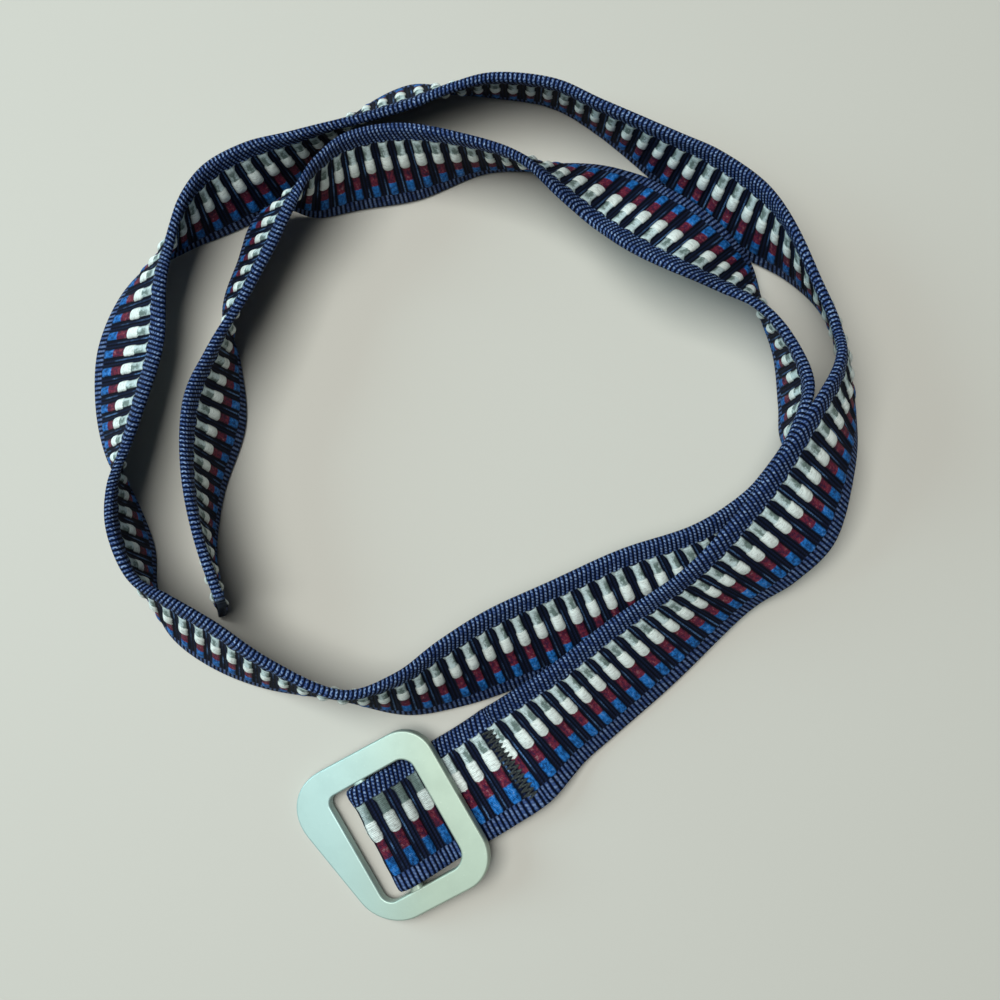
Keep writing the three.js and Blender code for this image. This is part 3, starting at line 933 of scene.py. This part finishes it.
def rounded_loop(corners, name):
    """Outline with rounded corners, modelled as a plane whose corners are bevelled one by one."""
    clear_selection()
    bpy.ops.mesh.primitive_plane_add(size=2 * MM)
    obj = bpy.context.object
    obj.name = name
    order = {(-1, 1): 0, (-1, -1): 1, (1, -1): 2, (1, 1): 3}
    for vertex in obj.data.vertices:
        sides = (int(math.copysign(1, vertex.co.x)), int(math.copysign(1, vertex.co.y)))
        along, across, _ = corners[order[sides]]
        vertex.co = Vector((along, across, 0)) * MM
    for i, (along, across, radius) in enumerate(corners):
        at = Vector((along, across))
        back = (Vector(corners[i - 1][:2]) - at).normalized()
        on = (Vector(corners[(i + 1) % 4][:2]) - at).normalized()
        trim = radius / math.tan(back.angle(on) / 2)
        for element in [*obj.data.vertices, *obj.data.edges, *obj.data.polygons]:
            element.select = False
        nearest = min(obj.data.vertices, key=lambda v: (v.co.xy / MM - at).length)
        nearest.select = True
        bpy.ops.object.mode_set(mode="EDIT")
        bpy.ops.mesh.select_mode(type="VERT")
        bpy.ops.mesh.bevel(offset=trim * MM, segments=CORNER_SEGMENTS, affect="VERTICES", profile=0.5)
        bpy.ops.object.mode_set(mode="OBJECT")
    return obj


def soften(obj, radius, **limits):
    """Edges rounded over by an applied bevel."""
    bevel = obj.modifiers.new("soft_edge", "BEVEL")
    bevel.width = radius * MM
    bevel.segments = EDGE_SEGMENTS
    for name, value in limits.items():
        setattr(bevel, name, value)
    bpy.ops.object.modifier_apply(modifier=bevel.name)


def buckle_frame(s):
    """The frame: outline and window bridged, thickened, and its edges rounded over."""
    outer = rounded_loop(BUCKLE_CORNERS, "outline")
    inner = rounded_loop(WINDOW_CORNERS, "window")
    activate(outer)
    inner.select_set(True)
    bpy.ops.object.join()
    bpy.ops.object.mode_set(mode="EDIT")
    bpy.ops.mesh.select_all(action="SELECT")
    bpy.ops.mesh.delete(type="ONLY_FACE")
    bpy.ops.mesh.select_all(action="SELECT")
    bpy.ops.mesh.bridge_edge_loops()
    bpy.ops.mesh.select_all(action="SELECT")
    bpy.ops.mesh.extrude_region_move(TRANSFORM_OT_translate={"value": (0, 0, s.thick * MM)})
    bpy.ops.mesh.select_all(action="SELECT")
    bpy.ops.mesh.normals_make_consistent(inside=False)
    bpy.ops.object.mode_set(mode="OBJECT")
    soften(outer, s.edge, limit_method="ANGLE", angle_limit=SHARP_EDGE)
    return outer


def crossbar(s):
    """The crossbar, a rounded bar set into both rails."""
    clear_selection()
    middle = Vector((CROSSBAR["along"], CROSSBAR["across"], s.thick / 2)) * MM
    bpy.ops.mesh.primitive_cube_add(size=1, location=middle)
    obj = bpy.context.object
    obj.scale = Vector((CROSSBAR["wide"], CROSSBAR["long"], CROSSBAR["thick"])) * MM
    settle(obj)
    soften(obj, CROSSBAR["corner"])
    return obj


def seat_buckle(body):
    """The buckle turned up about its left edge and set down on the floor."""
    plan = turned([(BUCKLE_LEFT, 0)], BUCKLE_ANGLE, WINDOW_MIDDLE)[0]
    seat = to_part([*plan, -BUCKLE_DROP])[0]
    pivot = Matrix.Translation((-BUCKLE_LEFT * MM, 0, 0))
    tilt = Matrix.Rotation(-BUCKLE_TILT, 4, "Y")
    body.matrix_world = Matrix.Translation(seat) @ tilt @ pivot
    settle(body)


def add_lights(s):
    """The surround and the two soft lights."""
    world = bpy.data.worlds.new("studio")
    world.use_nodes = True
    background = world.node_tree.nodes["Background"]
    background.inputs[0].default_value = SKY_TINT
    background.inputs[1].default_value = s.sky
    bpy.context.scene.world = world
    for name, row in LIGHTS.items():
        light = bpy.data.lights.new(name, "AREA")
        light.size = row["side"]
        light.energy = getattr(s, name)
        light.color = row["tint"]
        obj = add_object(name, light)
        obj.location = row["place"]
        obj.rotation_euler = (-Vector(row["place"])).to_track_quat("-Z", "Y").to_euler()


def add_camera():
    """The photograph's camera."""
    camera = bpy.data.cameras.new("camera")
    camera.sensor_fit = "HORIZONTAL"
    camera.sensor_width = CAMERA["sensor"]
    camera.lens = CAMERA["lens"]
    camera.clip_start = CAMERA["nearest"]
    obj = add_object("camera", camera)
    obj.location = CAMERA["place"]
    obj.rotation_mode = "QUATERNION"
    turn = Matrix((CAMERA["right"], CAMERA["up"], CAMERA["back"])).transposed()
    obj.rotation_quaternion = turn.to_quaternion()
    bpy.context.scene.camera = obj


class BELT_OT_strap(bpy.types.Operator):
    """Weave the strap along its lay"""
    bl_idname = "belt.strap"
    bl_label = "Strap"

    def execute(self, context):
        s = context.scene.belt_strap
        shape = StrapShape(s.width, context.scene.belt_buckle.thick)
        obj = add_object("strap_weave", strap_mesh(shape, s.steps))
        activate(obj)
        bpy.ops.object.shade_smooth()
        add_piece(obj, "strap_weave", webbing(s), ["strap"])
        return {"FINISHED"}


class BELT_OT_tack(bpy.types.Operator):
    """Sew the bar tack through both layers"""
    bl_idname = "belt.tack"
    bl_label = "Bar tack"

    def execute(self, context):
        s = context.scene.belt_strap
        shape = StrapShape(s.width, context.scene.belt_buckle.thick)
        downs, distances = tack_stitches()
        cloth = relief(distances, bar_at(distances), downs)
        out = cloth * TACK["sunk"] + TACK["thread"] * TACK["proud"]
        curve = tack_curve(to_part(shape.points(distances, downs, out)))
        activate(add_object("bar_tack", curve))
        bpy.ops.object.convert(target="MESH")
        bpy.ops.object.shade_smooth()
        add_piece(bpy.context.object, "bar_tack", thread_finish(s))
        return {"FINISHED"}


class BELT_OT_buckle(bpy.types.Operator):
    """Shape the frame buckle and its crossbar"""
    bl_idname = "belt.buckle"
    bl_label = "Buckle"

    def execute(self, context):
        s = context.scene.belt_buckle
        bar = crossbar(s)
        body = buckle_frame(s)
        activate(body)
        union = body.modifiers.new("crossbar", "BOOLEAN")
        union.operation = "UNION"
        union.solver = "EXACT"
        union.object = bar
        bpy.ops.object.modifier_apply(modifier=union.name)
        bpy.data.objects.remove(bar)
        seat_buckle(body)
        bpy.ops.object.shade_smooth_by_angle(angle=SMOOTH_UNDER)
        weighted = body.modifiers.new("weighted", "WEIGHTED_NORMAL")
        weighted.keep_sharp = True
        bpy.ops.object.modifier_apply(modifier=weighted.name)
        add_piece(body, "buckle_frame", satin_metal(s), ["buckle"])
        return {"FINISHED"}


class BELT_OT_stage(bpy.types.Operator):
    """Set the floor, the lights and the camera"""
    bl_idname = "belt.stage"
    bl_label = "Stage"

    def execute(self, context):
        s = context.scene.belt_stage
        clear_selection()
        bpy.ops.mesh.primitive_plane_add(size=FLOOR_SIDE)
        floor = bpy.context.object
        floor.name = "stage_floor"
        floor.data.materials.append(floor_finish(s))
        add_lights(s)
        add_camera()
        context.scene.view_settings.view_transform = "Standard"
        return {"FINISHED"}


class BELT_PT_panel(bpy.types.Panel):
    """Belt tools in the 3D view's sidebar"""
    bl_idname = "BELT_PT_panel"
    bl_label = "Canvas Belt"
    bl_space_type = "VIEW_3D"
    bl_region_type = "UI"
    bl_category = "Belt"

    def draw(self, context):
        for operator in OPERATORS:
            self.layout.operator(operator.bl_idname)
        for name in SETTINGS:
            group = getattr(context.scene, name)
            box = self.layout.box()
            for key in group.__annotations__:
                box.prop(group, key)


OPERATORS = [BELT_OT_stage, BELT_OT_strap, BELT_OT_tack, BELT_OT_buckle]
SETTINGS = {"belt_strap": StrapSettings, "belt_buckle": BuckleSettings, "belt_stage": StageSettings}


def register():
    for group in SETTINGS.values():
        bpy.utils.register_class(group)
    for name, group in SETTINGS.items():
        setattr(bpy.types.Scene, name, PointerProperty(type=group))
    for operator in [*OPERATORS, BELT_PT_panel]:
        bpy.utils.register_class(operator)


def unregister():
    for operator in [BELT_PT_panel, *OPERATORS]:
        bpy.utils.unregister_class(operator)
    for name, group in SETTINGS.items():
        delattr(bpy.types.Scene, name)
        bpy.utils.unregister_class(group)


def main():
    register()
    bpy.ops.belt.stage()
    bpy.ops.belt.strap()
    bpy.ops.belt.tack()
    bpy.ops.belt.buckle()


if __name__ == "__main__":
    main()
